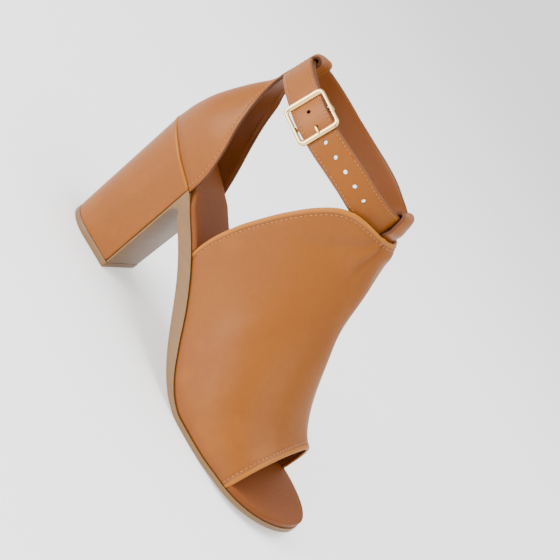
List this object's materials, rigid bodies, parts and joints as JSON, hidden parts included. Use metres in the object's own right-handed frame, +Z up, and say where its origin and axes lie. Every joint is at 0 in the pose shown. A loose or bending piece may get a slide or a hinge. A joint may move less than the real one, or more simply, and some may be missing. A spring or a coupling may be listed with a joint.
{
  "type": "ankle boot sandal",
  "caption": "Right open-toe ankle boot sandal in tan leather with a cut-away side, buckled ankle strap and covered block heel",
  "frame": {"origin": "middle of the shoe's bounding box, on the floor under the sole", "axes": "+X towards the toe, +Y towards the inner side of the foot, +Z up; metres"},
  "size_m": [0.2188, 0.086, 0.1606],
  "materials": {
    "upper_leather": "smooth tan leather, satin",
    "insole_cover": "smooth tan leather, matt",
    "sole_unit": "grey-taupe moulded sole, matt",
    "buckle_metal": "pale gold plate, polished"
  },
  "bodies": {
    "root": {"outsole": "sole_unit", "insole": "insole_cover", "heel_block": "upper_leather", "heel_top_piece": "sole_unit", "vamp": "upper_leather", "counter_and_back_loop": "upper_leather", "front_loop": "upper_leather", "ankle_strap": "upper_leather", "buckle_frame": "buckle_metal", "buckle_prong": "buckle_metal"}
  },
  "joints": []
}
